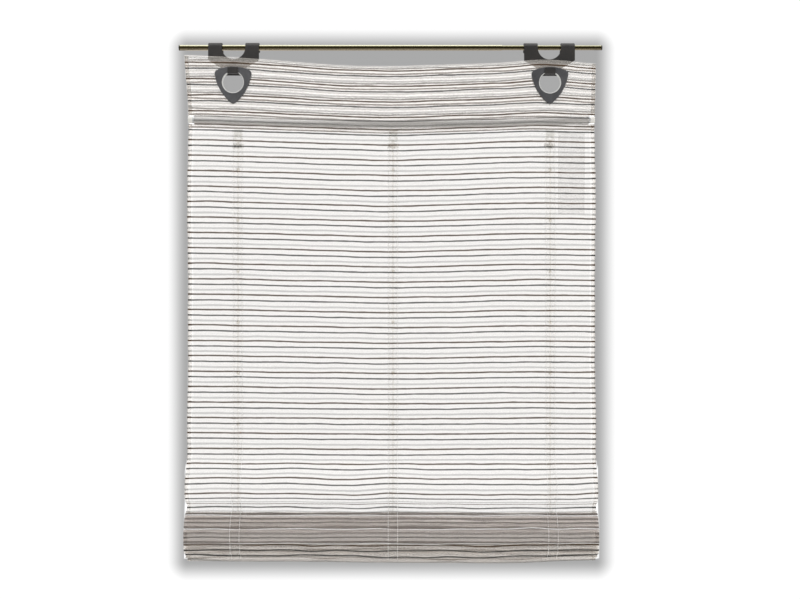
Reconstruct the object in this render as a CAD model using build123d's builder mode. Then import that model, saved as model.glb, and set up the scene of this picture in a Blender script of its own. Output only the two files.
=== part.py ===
from build123d import *
from math import acos, hypot, sqrt, tan
import os

# Soft roman blind that hangs on a telescopic rod by two hooks, partly raised.
# Millimetres. The origin is on the rod's axis at the middle of the cloth's width,
# +X to the right, +Z up, and the blind's face looks along -Y.

# ---- rod -------------------------------------------------------------------
outer_tube_d = 11.0
inner_tube_d = 9.6
inner_tube_wall = 0.8
tube_slide_gap = 0.08        # radial clearance of the telescopic slide
rod_past_cloth_left = 18.0
rod_past_cloth_right = 14.0
mouth_to_hook = 93.0         # from the outer tube's mouth to the right hook's middle
inner_tube_length = 450.0
plug_head = 2.0
plug_stem = 9.0
plug_gap = 0.1

# ---- cloth -----------------------------------------------------------------
blind_width = 800.0
cloth = 0.5                  # thickness
header_top = -20.5           # height of the header's top fold
header_height = 151.5        # the turned-down header, top fold to lower edge
flat_drop = 769.5            # from the top fold to where the gathered part starts
layer_pitch = 1.0            # front layer to back layer of the header, mid to mid
sewn_gap = 0.25              # between the cloth and what is sewn or clipped to it
hem = 20.0                   # the turned-up hem at the foot
hem_pitch = 1.6

# ---- hooks -----------------------------------------------------------------
hook_rod_gap = 0.6
hook_thick = 3.35
hook_width = 100.0
arm_width = 27.0
eyelet_inset = 89.0          # from the cloth's side edge to the eyelet's middle
arm_back_drop = 8.0          # how far the arms reach down behind the rod
crotch_depth = 24.0          # rod axis to the foot of the U between the arms
plate_shoulder = 26.0        # rod axis to where the plate starts to taper
tongue_width = 20.4
tongue_drop = 3.4            # thickness of the tongue below the eyelet's rim
lip_thick = 2.8
lip_height = 12.3
hook_edge = 0.7              # rounding of the hook's long edges

# ---- eyelets ---------------------------------------------------------------
eyelet_z = -70.8             # height of the hole's middle
eyelet_hole_d = 40.5
eyelet_front_thick = 3.0
eyelet_back_thick = 1.9
collar_wall = 1.95
collar_gap = 0.25
eyelet_seat_gap = 0.3
eyelet_shoulder = (36.5, 21.5)   # corner of the outline before rounding, from the hole's middle
eyelet_crown = 30.7
eyelet_tip = 43.5
eyelet_flank = (27.0, -12.0)
eyelet_corner_r = 8.0
eyelet_tip_r = 6.0
eyelet_rim = 1.2             # bevel round the hole
eyelet_edge = 1.0            # rounding of the front edge

# ---- header rod in its pocket ---------------------------------------------
header_rod_d = 14.0
header_rod_wall = 1.5
header_rod_bow = 8.0         # the rod hangs this much lower in the middle
header_rod_end_z = -144.0
pocket_gap = 0.6
rod_cap_length = 9.0
rod_end_recess = 1.0         # the rods stop this far inside the cloth's edges

# ---- bottom bar in its tunnel ---------------------------------------------
bar_height = 16.0
bar_thick = 3.0
bar_cap_length = 5.0
bar_cap_wall = 0.5
bar_cap_sleeve = 8.0
tunnel_height = 23.0
tunnel_depth = 5.4
tunnel_drop = 164.5          # from the start of the gathered part to the tunnel's middle
bar_gap = 0.1

# ---- tapes and lift cords -------------------------------------------------
tape_width = 20.0
tape_thick = 0.5
tape_lap = 9.0               # the tape starts this far above the header's lower edge
tape_inset_left = 98.0
tape_inset_right = 88.0
centre_tape_x = 3.0
tape_end_up = 28.0           # the tape stops this far above the blind's foot
cord_d = 1.5
cord_stand_off = 2.2         # cord's middle behind the tape
loop_width = 5.4
loop_wall = 0.6
loop_height = 6.0
loop_pitch = 100.0
loops_per_tape = 6
loop_hole_width = 2.8
knot_d = 3.6

# ---- cord guides and cord stoppers ----------------------------------------
guide_plate = (16.0, 1.0, 13.5)
guide_ring_r = 6.0
guide_rim_r = 2.4
guide_drop = 8.0             # from the header's lower edge to the ring's middle
cord_rim_gap = 0.3
stopper_d = 11.0
stopper_back = 11.0          # body, from the cord to its closed end
stopper_mouth = 6.0          # body, from the cord to its open end
stopper_floor = 1.5
button_d = 8.0
button_gap = 0.15
button_out = 5.0             # how far the button stands out of the body
button_in = 3.8              # from the cord to the button's inner end
cord_hole_d = 4.0
button_stroke = 2.4
spring_wire_d = 0.5
spring_coil_r = 3.2
spring_pitch = 1.25
spring_end_gap = 0.1
soft_edge = 0.8

# ---- care label -----------------------------------------------------------
label_size = (53.0, 1.2, 163.0)
label_inset = 20.0           # from the cloth's right edge
label_lap = 14.0             # the label starts this far above the header's lower edge

# ---- places worked out from the sizes above -------------------------------
outer_r = outer_tube_d / 2
inner_r = inner_tube_d / 2
half_width = blind_width / 2
hook_x = half_width - eyelet_inset
rod_left = -half_width - rod_past_cloth_left
rod_right = half_width + rod_past_cloth_right
rod_mouth = hook_x - mouth_to_hook
thin_drop = outer_r - inner_r            # the right hook sits lower, on the thinner tube

hook_inner_r = outer_r + hook_rod_gap
hook_front = -hook_inner_r - hook_thick
back_eyelet_front = hook_front - eyelet_seat_gap - eyelet_back_thick
back_layer_y = back_eyelet_front - sewn_gap - cloth / 2
panel_y = back_layer_y - layer_pitch
front_eyelet_back = panel_y - cloth / 2 - sewn_gap
front_eyelet_face = front_eyelet_back - eyelet_front_thick
lip_back = front_eyelet_face - eyelet_seat_gap
hole_r = eyelet_hole_d / 2
collar_r = hole_r + collar_wall

header_foot = header_top - header_height
stack_top = header_top - flat_drop
pocket_y = (panel_y + back_layer_y) / 2
pocket_inner_r = header_rod_d / 2 + pocket_gap
bow_r = half_width**2 / (2 * header_rod_bow) + header_rod_bow / 2

tape_offset = layer_pitch + cloth / 2 + sewn_gap + tape_thick / 2
tape_back_y = panel_y + tape_offset + tape_thick / 2
cord_y = tape_back_y + cord_stand_off
cord_r = cord_d / 2
tape_places = {
    "left": -half_width + tape_inset_left,
    "centre": centre_tape_x,
    "right": half_width - tape_inset_right,
}

# Side view of the gathered part: (forward of the panel, below the flat part). The
# cloth bellies out over the stack, comes back to the first raised loop, falls forward
# in two folds with a loop between them, and ends in the straight skirt at the back.
fold_points = [
    (0, 0), (10, -28), (27, -60), (33, -82), (24, -101), (0.5, -113),
    (28, -127), (40, -146), (41.5, -184), (38, -200), (30, -200), (26, -176),
    (15, -136), (6, -122.5), (0.8, -126), (15, -148), (23, -178), (24.5, -211),
    (17.5, -211), (13.5, -178), (5, -140), (0, -140), (0, -222),
]


def in_plane(points):
    """Forward and down distances as (y, z) places in the part's frame."""
    return [(panel_y - forward, stack_top + down) for forward, down in points]


def corner_radii(points, share=0.45, most=60.0):
    """For each corner, an arc that takes a share of its shorter run."""
    radii = []
    for before, corner, after in zip(points, points[1:], points[2:]):
        run_in = Vector(*corner, 0) - Vector(*before, 0)
        run_out = Vector(*after, 0) - Vector(*corner, 0)
        turn = acos(max(-1, min(1, run_in.normalized().dot(run_out.normalized()))))
        shorter = min(run_in.length, run_out.length)
        radii.append(min(most, share * shorter / tan(turn / 2)))
    return radii


def beside(points, radii, distance):
    """The same path moved sideways, to its left, with its radii to match."""
    normals = []
    for start, end in zip(points, points[1:]):
        run = hypot(end[0] - start[0], end[1] - start[1])
        normals.append((-(end[1] - start[1]) / run, (end[0] - start[0]) / run))
    moved = [(points[0][0] + distance * normals[0][0], points[0][1] + distance * normals[0][1])]
    moved_radii = []
    for place, radius, before, after in zip(points[1:-1], radii, normals, normals[1:]):
        shared = 1 + before[0] * after[0] + before[1] * after[1]
        moved.append(tuple(place[i] + distance * (before[i] + after[i]) / shared for i in (0, 1)))
        turns_left = before[0] * after[1] - before[1] * after[0] > 0
        moved_radii.append(radius - distance if turns_left else radius + distance)
    last = normals[-1]
    moved.append((points[-1][0] + distance * last[0], points[-1][1] + distance * last[1]))
    return moved, moved_radii


def bow_z(x, end_z=header_rod_end_z):
    """Height of the bowed header rod's middle at x."""
    return end_z - header_rod_bow + bow_r - sqrt(bow_r**2 - x**2)


def finish(piece, name):
    """Names a finished piece and writes its file."""
    piece.label = name
    export_step(piece, f"parts/{name}.step")


os.makedirs("parts", exist_ok=True)

# ==== curtain rod ====
with BuildPart() as rod_outer_tube:
    with BuildSketch(Plane.YZ.offset(rod_left)):
        Circle(outer_r)
        Circle(inner_r + tube_slide_gap, mode=Mode.SUBTRACT)
    extrude(amount=rod_mouth - rod_left)
finish(rod_outer_tube.part, "rod_outer_tube")

with BuildPart() as rod_inner_tube:
    with BuildSketch(Plane.YZ.offset(rod_right)):
        Circle(inner_r)
        Circle(inner_r - inner_tube_wall, mode=Mode.SUBTRACT)
    extrude(amount=-inner_tube_length)
finish(rod_inner_tube.part, "rod_inner_tube")

# Plugs close both ends: a thin head and a stem that slips into the tube.
rod_ends = {
    "left": (rod_left, -1, outer_r, inner_r + tube_slide_gap),
    "right": (rod_right, 1, inner_r, inner_r - inner_tube_wall),
}
for side, (end_x, way, head_r, bore_r) in rod_ends.items():
    with BuildPart() as rod_plug:
        with BuildSketch(Plane.YZ.offset(end_x)):
            Circle(head_r)
        extrude(amount=way * plug_head)
        fillet(rod_plug.edges().sort_by(Axis.X)[0 if way < 0 else -1], plug_head / 3)
        with BuildSketch(Plane.YZ.offset(end_x)):
            Circle(bore_r - plug_gap)
        extrude(amount=-way * plug_stem)
    finish(rod_plug.part, f"rod_plug_{side}")

# ==== hooks ====
# Each hook is one moulding: two arms that lie over the rod, a plate behind the cloth,
# and a tongue that comes forward through the eyelet and stands up in front of its rim.
for side, x, drop in (("left", -hook_x, 0.0), ("right", hook_x, thin_drop)):
    hole_z = eyelet_z - drop
    seat_r = hole_r - eyelet_seat_gap
    tongue_foot = hole_z + sqrt(seat_r**2 - (tongue_width / 2) ** 2) - tongue_drop / 4
    plate_foot = tongue_foot - tongue_drop / 2
    with BuildPart() as hook:
        with BuildSketch(Plane.YZ.offset(x)):
            with Locations((0, -drop)):
                Circle(hook_inner_r + hook_thick)
                with Locations((0, -hook_inner_r * 2)):
                    Rectangle(4 * hook_inner_r, 4 * hook_inner_r, mode=Mode.SUBTRACT)
                with Locations((hook_inner_r + hook_thick / 2, -arm_back_drop / 2)):
                    Rectangle(hook_thick, arm_back_drop)
            with Locations((hook_front + hook_thick / 2, (plate_foot - drop) / 2)):
                Rectangle(hook_thick, -plate_foot - drop)
            with Locations((0, -drop)):
                Circle(hook_inner_r, mode=Mode.SUBTRACT)
        extrude(amount=hook_width / 2, both=True)
        # front outline: straight shoulders, then a taper down to the tongue
        with BuildSketch(Plane.XZ.offset(-4 * outer_r)):
            with BuildLine():
                Polyline(
                    (x - hook_width / 2, -plate_shoulder - drop),
                    (x - tongue_width, hole_z + eyelet_crown - tongue_drop),
                    (x - tongue_width / 2 - tongue_drop, plate_foot - 1),
                    (x - hook_width, plate_foot - 1),
                    (x - hook_width, -plate_shoulder - drop),
                    close=True,
                )
            make_face()
            mirror(about=Plane.YZ.offset(x))
        extrude(amount=8 * outer_r, mode=Mode.SUBTRACT)
        # the U between the arms
        gap_r = hook_width / 2 - arm_width
        with BuildSketch(Plane.XZ.offset(-4 * outer_r)):
            with Locations((x, -crotch_depth - drop + gap_r)):
                Circle(gap_r)
            with Locations((x, -crotch_depth - drop + gap_r + crotch_depth)):
                Rectangle(2 * gap_r, 2 * crotch_depth)
        extrude(amount=8 * outer_r, mode=Mode.SUBTRACT)
        # the tongue's web, its top curved like the hole it carries
        with BuildSketch(Plane.XZ.offset(-hook_front)):
            with Locations((x, hole_z)):
                Circle(seat_r)
            with Locations((x, hole_z)):
                Rectangle(tongue_width, 3 * seat_r, mode=Mode.INTERSECT)
            with Locations((x, tongue_foot - seat_r)):
                Rectangle(3 * seat_r, 2 * seat_r, mode=Mode.SUBTRACT)
        extrude(amount=hook_front - lip_back + lip_thick)
        with BuildSketch(Plane.XZ.offset(-lip_back)):
            with Locations((x, tongue_foot + lip_height / 2)):
                RectangleRounded(tongue_width, lip_height, tongue_drop / 4)
        extrude(amount=lip_thick)
        arm_sides = hook.faces().filter_by(Plane.YZ).edges()
        fillet(arm_sides.filter_by(lambda edge: edge.center().Z > -crotch_depth / 2 - drop), hook_edge)
    finish(hook.part, f"hook_{side}")

# ==== eyelets ====
# Two halves that snap together through the cloth. The front half has the collar.
def eyelet_outline():
    """The rounded triangle, point down, about the hole's middle."""
    shoulder_x, shoulder_z = eyelet_shoulder
    flank_x, flank_z = eyelet_flank
    with BuildSketch(mode=Mode.PRIVATE) as outline:
        with BuildLine():
            ThreePointArc(
                (-shoulder_x, shoulder_z), (0, eyelet_crown), (shoulder_x, shoulder_z))
            ThreePointArc((shoulder_x, shoulder_z), (flank_x, flank_z), (0, -eyelet_tip))
            ThreePointArc((0, -eyelet_tip), (-flank_x, flank_z), (-shoulder_x, shoulder_z))
        make_face()
        fillet(outline.vertices().sort_by(Axis.Y)[0], eyelet_tip_r)
        fillet(outline.vertices().sort_by(Axis.Y)[-2:], eyelet_corner_r)
    return outline.sketch


for side, x, drop in (("left", -hook_x, 0.0), ("right", hook_x, thin_drop)):
    hole_z = eyelet_z - drop
    with BuildPart() as eyelet_front:
        with BuildSketch(Plane.XZ.offset(-front_eyelet_back)):
            with Locations((x, hole_z)):
                add(eyelet_outline())
        extrude(amount=eyelet_front_thick)
        front_face = eyelet_front.faces().sort_by(Axis.Y)[0]
        fillet(front_face.edges(), eyelet_edge)
        with BuildSketch(Plane.XZ.offset(-front_eyelet_face)):
            with Locations((x, hole_z)):
                Circle(hole_r)
        extrude(amount=-eyelet_front_thick, mode=Mode.SUBTRACT)
        rim = eyelet_front.edges().filter_by(GeomType.CIRCLE).sort_by(Axis.Y)
        rim = rim.filter_by(lambda edge: abs(edge.radius - hole_r) < 0.01)[0]
        chamfer(rim, eyelet_rim)
        with BuildSketch(Plane.XZ.offset(-front_eyelet_back)):
            with Locations((x, hole_z)):
                Circle(collar_r)
                Circle(hole_r, mode=Mode.SUBTRACT)
        extrude(amount=front_eyelet_back - back_eyelet_front - eyelet_back_thick)
    finish(eyelet_front.part, f"eyelet_front_{side}")

    with BuildPart() as eyelet_back:
        with BuildSketch(Plane.XZ.offset(-back_eyelet_front)):
            with Locations((x, hole_z)):
                add(eyelet_outline())
                Circle(collar_r + collar_gap, mode=Mode.SUBTRACT)
        extrude(amount=-eyelet_back_thick)
    finish(eyelet_back.part, f"eyelet_back_{side}")

# ==== cloth ====
# One sheet in side view: up the back of the header, over its top fold, down the
# front, through the gathered folds, and up again in the hem.
foot_forward, foot_down = fold_points[-1]
top_up = header_top - stack_top
sheet_path = in_plane(
    [(-layer_pitch, header_foot - stack_top), (-layer_pitch, top_up), (0, top_up)]
    + fold_points
    + [(foot_forward - hem_pitch, foot_down), (foot_forward - hem_pitch, foot_down + hem)]
)
sheet_radii = corner_radii(sheet_path)

# The bottom bar's tunnel is a strip across the front of the first fold.
tunnel_z = stack_top - tunnel_drop
tunnel_up, tunnel_low = fold_points[7], fold_points[8]
tunnel_lean = (tunnel_low[0] - tunnel_up[0]) / (tunnel_low[1] - tunnel_up[1])
tunnel_y = panel_y - tunnel_up[0] - tunnel_lean * (-tunnel_drop - tunnel_up[1])
strip_y = tunnel_y - tunnel_depth - cloth
tunnel_strip = [
    (tunnel_y, tunnel_z + tunnel_height / 2 + cloth),
    (strip_y, tunnel_z + tunnel_height / 2 - tunnel_depth / 2),
    (strip_y, tunnel_z - tunnel_height / 2 + tunnel_depth / 2),
    (tunnel_y, tunnel_z - tunnel_height / 2 - cloth),
]

with BuildPart() as blind_cloth:
    with BuildSketch(Plane.YZ):
        with BuildLine():
            FilletPolyline(*sheet_path, radius=sheet_radii)
        trace(line_width=cloth)
        with BuildLine():
            FilletPolyline(*tunnel_strip, radius=tunnel_depth / 4)
        trace(line_width=cloth)
    extrude(amount=half_width, both=True)
    # the header rod's pocket, bowed like the rod
    past = half_width + pocket_inner_r
    with BuildLine(Plane.XZ.offset(-pocket_y)) as pocket_line:
        ThreePointArc((-past, bow_z(-past)), (0, bow_z(0)), (past, bow_z(past)))
    with BuildSketch(Plane(origin=pocket_line.line @ 0, z_dir=pocket_line.line % 0)):
        Circle(pocket_inner_r + cloth)
    sweep(path=pocket_line.line)
    with BuildSketch(Plane(origin=pocket_line.line @ 0, z_dir=pocket_line.line % 0)):
        Circle(pocket_inner_r)
    sweep(path=pocket_line.line, mode=Mode.SUBTRACT)
    # trim the pocket's ends to the cloth's edges
    for way in (-1, 1):
        with BuildSketch(Plane.YZ.offset(way * half_width)):
            with Locations((pocket_y, header_rod_end_z)):
                Rectangle(4 * pocket_inner_r, 4 * pocket_inner_r)
        extrude(amount=way * 3 * pocket_inner_r, mode=Mode.SUBTRACT)
    # the two holes for the eyelets' collars
    with BuildSketch(Plane.XZ.offset(-hook_front)):
        for x, drop in ((-hook_x, 0.0), (hook_x, thin_drop)):
            with Locations((x, eyelet_z - drop)):
                Circle(collar_r + cloth)
    extrude(amount=hook_front - front_eyelet_face, mode=Mode.SUBTRACT)
finish(blind_cloth.part, "blind_cloth")

# ==== header rod ====
rod_reach = half_width - rod_end_recess - rod_cap_length
with BuildLine(Plane.XZ.offset(-pocket_y)) as header_rod_line:
    ThreePointArc((-rod_reach, bow_z(rod_reach)), (0, bow_z(0)), (rod_reach, bow_z(rod_reach)))
header_rod_bore_r = header_rod_d / 2 - header_rod_wall
with BuildPart() as header_rod:
    with BuildSketch(Plane(origin=header_rod_line.line @ 0, z_dir=header_rod_line.line % 0)):
        Circle(header_rod_d / 2)
        Circle(header_rod_bore_r, mode=Mode.SUBTRACT)
    sweep(path=header_rod_line.line)
finish(header_rod.part, "header_rod")

for side, end, way in (("left", 0, -1), ("right", 1, 1)):
    end_plane = Plane(
        origin=header_rod_line.line @ end, z_dir=(header_rod_line.line % end) * way
    )
    with BuildPart() as header_rod_cap:
        with BuildSketch(end_plane):
            Circle(header_rod_d / 2)
        extrude(amount=rod_cap_length)
        fillet(header_rod_cap.edges().sort_by(Axis.X)[0 if way < 0 else -1], soft_edge)
        with BuildSketch(end_plane):
            Circle(header_rod_bore_r - plug_gap)
        extrude(amount=-plug_stem)
    finish(header_rod_cap.part, f"header_rod_cap_{side}")

# ==== bottom bar ====
bar_y = tunnel_y - cloth / 2 - tunnel_depth / 2
bar_reach = half_width - rod_end_recess - bar_cap_length
with BuildPart() as bottom_bar:
    with BuildSketch(Plane.YZ):
        with Locations((bar_y, tunnel_z)):
            Rectangle(bar_thick, bar_height)
    extrude(amount=bar_reach, both=True)
    fillet(bottom_bar.edges().filter_by(Axis.X), bar_thick / 4)
finish(bottom_bar.part, "bottom_bar")

cap_grow = 2 * (bar_gap + bar_cap_wall)
for side, way in (("left", -1), ("right", 1)):
    with BuildPart() as bottom_bar_cap:
        with BuildSketch(Plane.YZ.offset(way * (bar_reach + bar_cap_length))):
            with Locations((bar_y, tunnel_z)):
                Rectangle(bar_thick + cap_grow, bar_height + cap_grow)
        extrude(amount=-way * (bar_cap_length + bar_cap_sleeve))
        fillet(bottom_bar_cap.edges().filter_by(Axis.X), bar_thick / 4)
        with BuildSketch(Plane.YZ.offset(way * (bar_reach + bar_gap))):
            with Locations((bar_y, tunnel_z)):
                Rectangle(bar_thick + 2 * bar_gap, bar_height + 2 * bar_gap)
        extrude(amount=-way * (bar_cap_sleeve + bar_gap), mode=Mode.SUBTRACT)
    finish(bottom_bar_cap.part, f"bottom_bar_cap_{side}")

# ==== tapes, cords, guides and stoppers, one set for each tape ====
tape_end = (panel_y - foot_forward, stack_top + foot_down + tape_end_up)
cloth_run = [(panel_y, header_foot + tape_lap)] + in_plane(fold_points[:-1]) + [tape_end]
tape_path, tape_radii = beside(cloth_run, corner_radii(cloth_run), tape_offset)
skirt_top_z = stack_top + fold_points[-2][1]
skirt_loop_z = skirt_top_z - 2 * loop_height
first_loop_z = header_foot - 0.7 * loop_pitch
loop_heights = [first_loop_z - i * loop_pitch for i in range(loops_per_tape)] + [skirt_loop_z]
loop_depth = cord_stand_off + cord_r + loop_wall

ring_z = header_foot - guide_drop
turn_r = guide_rim_r + cord_rim_gap + cord_r
turn_z = ring_z - guide_ring_r
ring_y = cord_y + turn_r
tail_y = ring_y + turn_r
stopper_r = stopper_d / 2
stopper_z = turn_z - guide_rim_r - cord_rim_gap - stopper_r
knot_z = skirt_loop_z - loop_height / 2 - knot_d / 2 - cord_rim_gap
hole_shift = button_stroke / 2

for side, x in tape_places.items():
    with BuildPart() as tape:
        with BuildSketch(Plane.YZ.offset(x)):
            with BuildLine():
                FilletPolyline(*tape_path, radius=tape_radii)
            trace(line_width=tape_thick)
        extrude(amount=tape_width / 2, both=True)
        # small woven loops, open top and bottom, that guide the cord
        for loop_z in loop_heights:
            with BuildSketch(Plane.XY.offset(loop_z - loop_height / 2)):
                with Locations((x, tape_back_y + loop_depth / 2 - tape_thick / 4)):
                    Rectangle(loop_width, loop_depth + tape_thick / 2)
                with Locations((x, tape_back_y + (loop_depth - loop_wall) / 2)):
                    Rectangle(loop_hole_width, loop_depth - loop_wall, mode=Mode.SUBTRACT)
            extrude(amount=loop_height)
    finish(tape.part, f"tape_{side}")

    # The lift cord is knotted under the skirt's loop, runs up through the loops,
    # over the guide's rim, and down into the stopper.
    with BuildPart() as lift_cord:
        with BuildLine() as cord_line:
            Line((x, cord_y, knot_z), (x, cord_y, turn_z))
            ThreePointArc(
                (x, cord_y, turn_z), (x, ring_y, turn_z + turn_r), (x, tail_y, turn_z))
            Line((x, tail_y, turn_z), (x, tail_y, stopper_z - stopper_r))
        with BuildSketch(Plane.XY.offset(knot_z)):
            with Locations((x, cord_y)):
                Circle(cord_r)
        sweep(path=cord_line.line)
        with Locations((x, cord_y, knot_z)):
            Sphere(knot_d / 2)
    finish(lift_cord.part, f"lift_cord_{side}")

    plate_width, plate_thick, plate_height = guide_plate
    plate_y = tape_back_y + sewn_gap + plate_thick / 2
    plate_z = header_foot + tape_lap - plate_height / 2
    with BuildPart() as cord_guide:
        with Locations((x, plate_y, plate_z)):
            Box(plate_width, plate_thick, plate_height)
        fillet(cord_guide.edges().filter_by(Axis.Y), soft_edge)
        with Locations(Location((x, ring_y, ring_z), (90, 0, 0))):
            Torus(guide_ring_r, guide_rim_r)
        neck_y = (plate_y + ring_y) / 2
        neck_z = ring_z + guide_ring_r + guide_rim_r / 2
        with Locations((x, neck_y, neck_z)):
            Box(2 * guide_rim_r, ring_y - plate_y, guide_rim_r)
    finish(cord_guide.part, f"cord_guide_{side}")

    with BuildPart() as stopper_body:
        with BuildSketch(Plane.YZ.offset(x - stopper_back)):
            with Locations((tail_y, stopper_z)):
                Circle(stopper_r)
        extrude(amount=stopper_back + stopper_mouth)
        fillet(stopper_body.edges().filter_by(GeomType.CIRCLE), soft_edge)
        with BuildSketch(Plane.YZ.offset(x - stopper_back + stopper_floor)):
            with Locations((tail_y, stopper_z)):
                Circle(button_d / 2 + button_gap)
        extrude(amount=stopper_back + stopper_mouth, mode=Mode.SUBTRACT)
        with BuildSketch(Plane.XY.offset(stopper_z)):
            with Locations((x - hole_shift, tail_y)):
                Circle(cord_hole_d / 2)
        extrude(amount=stopper_r, both=True, mode=Mode.SUBTRACT)
    finish(stopper_body.part, f"stopper_body_{side}")

    with BuildPart() as stopper_button:
        with BuildSketch(Plane.YZ.offset(x - button_in)):
            with Locations((tail_y, stopper_z)):
                Circle(button_d / 2)
        extrude(amount=button_in + stopper_mouth + button_out)
        fillet(stopper_button.edges().sort_by(Axis.X)[-1], soft_edge)
        with BuildSketch(Plane.XY.offset(stopper_z)):
            with Locations((x + hole_shift, tail_y)):
                Circle(cord_hole_d / 2)
        extrude(amount=stopper_r, both=True, mode=Mode.SUBTRACT)
    finish(stopper_button.part, f"stopper_button_{side}")

    spring_start = x - stopper_back + stopper_floor + spring_end_gap + spring_wire_d / 2
    spring_end = x - button_in - spring_end_gap - spring_wire_d / 2
    with BuildPart() as stopper_spring:
        with BuildLine() as coil_line:
            Helix(
                spring_pitch, spring_end - spring_start, spring_coil_r,
                center=(spring_start, tail_y, stopper_z), direction=(1, 0, 0))
        with BuildSketch(Plane(origin=coil_line.line @ 0, z_dir=coil_line.line % 0)):
            Circle(spring_wire_d / 2)
        sweep(path=coil_line.line, is_frenet=True)
    finish(stopper_spring.part, f"stopper_spring_{side}")

# ==== care label ====
# A blank folded label that hangs behind the cloth from the header's lower edge.
label_width, label_thick, label_height = label_size
label_z = header_foot + label_lap - label_height / 2
label_y = back_layer_y + cloth / 2 + sewn_gap + label_thick / 2
with BuildPart() as care_label:
    with Locations((half_width - label_inset - label_width / 2, label_y, label_z)):
        Box(label_width, label_thick, label_height)
    fillet(care_label.edges().filter_by(Axis.Z), label_thick / 3)
finish(care_label.part, "care_label")
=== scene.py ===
import math

import bmesh
import bpy
import numpy as np
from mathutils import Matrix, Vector, noise


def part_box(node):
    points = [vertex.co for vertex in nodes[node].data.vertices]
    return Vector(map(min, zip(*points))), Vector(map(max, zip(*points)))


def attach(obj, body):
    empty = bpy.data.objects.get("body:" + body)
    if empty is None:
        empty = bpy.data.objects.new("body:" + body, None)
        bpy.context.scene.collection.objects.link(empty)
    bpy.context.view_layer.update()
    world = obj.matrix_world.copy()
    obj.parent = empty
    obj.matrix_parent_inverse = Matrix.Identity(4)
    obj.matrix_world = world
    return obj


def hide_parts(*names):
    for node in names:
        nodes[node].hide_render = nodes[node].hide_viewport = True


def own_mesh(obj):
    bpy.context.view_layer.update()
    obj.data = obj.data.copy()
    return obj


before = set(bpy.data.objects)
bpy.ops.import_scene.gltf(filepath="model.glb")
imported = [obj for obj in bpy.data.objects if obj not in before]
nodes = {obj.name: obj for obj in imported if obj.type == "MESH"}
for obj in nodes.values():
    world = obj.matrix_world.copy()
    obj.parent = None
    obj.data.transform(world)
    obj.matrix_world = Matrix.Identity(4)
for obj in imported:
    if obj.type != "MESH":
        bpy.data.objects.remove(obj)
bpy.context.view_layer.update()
mm = 0.001
holeZ = {"left": -0.0708, "right": -0.0715}  # height of the eyelets' middles, in metres
print("frame loaded")


# small tools

def hexToLinear(code):
    channels = [int(code[i:i + 2], 16) / 255 for i in (1, 3, 5)]
    linear = [c / 12.92 if c <= 0.04045 else ((c + 0.055) / 1.055) ** 2.4 for c in channels]
    return (*linear, 1.0)


def addNode(tree, kind, settings=None, inputs=None):
    node = tree.nodes.new(kind)
    for name, value in (settings or {}).items():
        if name == "stops":  # places and colours along a colour ramp
            band = node.color_ramp
            while len(band.elements) < len(value):
                band.elements.new(1.0)
            for element, (place, code) in zip(band.elements, value):
                element.position, element.color = place, hexToLinear(code)
        else:
            setattr(node, name, value)
    for socket, value in (inputs or {}).items():
        if isinstance(value, bpy.types.Node):
            value = value.outputs[0]
        if isinstance(value, bpy.types.NodeSocket):
            tree.links.new(value, node.inputs[socket])
        else:
            node.inputs[socket].default_value = value
    return node


def startMaterial(name, shaderValues):
    material = bpy.data.materials.new(name)
    material.use_nodes = True
    tree = material.node_tree
    tree.nodes.clear()
    shader = addNode(tree, "ShaderNodeBsdfPrincipled", None, shaderValues)
    addNode(tree, "ShaderNodeOutputMaterial", None, {"Surface": shader})
    return material, tree, shader


def finishMaterial(tree, shader, colour, height, strength, depth):
    # joins the colour and a bump of the given depth in metres to the shader
    bump = addNode(tree, "ShaderNodeBump", None, {"Strength": strength, "Distance": depth, "Height": height})
    tree.links.new(bump.outputs[0], shader.inputs["Normal"])
    tree.links.new(colour, shader.inputs["Base Color"])


def newObject(name, data):
    made = bpy.data.objects.new(name, data)
    bpy.context.scene.collection.objects.link(made)
    return made


def meshObject(name, points, faces, material, uvs=None, smooth=True):
    mesh = bpy.data.meshes.new(name)
    mesh.from_pydata([tuple(p) for p in points], [], faces)
    if uvs is not None:
        layer = mesh.uv_layers.new(name="sheetMap")
        corner = np.zeros(len(mesh.loops), int)
        mesh.loops.foreach_get("vertex_index", corner)
        layer.data.foreach_set("uv", np.asarray(uvs, float)[corner].ravel())
    mesh.polygons.foreach_set("use_smooth", [smooth] * len(mesh.polygons))
    mesh.materials.append(material)
    return newObject(name, mesh)


def applyModifiers(piece):
    # keeps the result as a plain mesh
    graph = bpy.context.evaluated_depsgraph_get()
    graph.update()
    solid = bpy.data.meshes.new_from_object(piece.evaluated_get(graph), depsgraph=graph)
    piece.modifiers.clear()
    old, piece.data = piece.data, solid
    bpy.data.meshes.remove(old)
    return piece


def gridFaces(rows, columns):
    # the corners of every face in a grid of points
    first = (np.arange(rows - 1)[:, None] * columns + np.arange(columns - 1)).ravel()
    return np.stack([first, first + 1, first + columns + 1, first + columns], 1)


def gridSheet(name, points, uvs, thickness, material, dropped=None):
    # points[row, column] in mm, turned into a thin closed sheet
    faces = gridFaces(*points.shape[:2])
    if dropped is not None:
        faces = faces[~dropped.ravel()[faces].any(1)]
    made = meshObject(name, points.reshape(-1, 3) * mm, faces.tolist(), material, uvs.reshape(-1, 2) * mm)
    loose = bmesh.new()
    loose.from_mesh(made.data)
    bmesh.ops.delete(loose, geom=[v for v in loose.verts if not v.link_faces], context="VERTS")
    loose.to_mesh(made.data)
    loose.free()
    wall = made.modifiers.new("wall", "SOLIDIFY")
    wall.thickness, wall.offset = thickness * mm, 0.0
    return applyModifiers(made)


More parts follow.
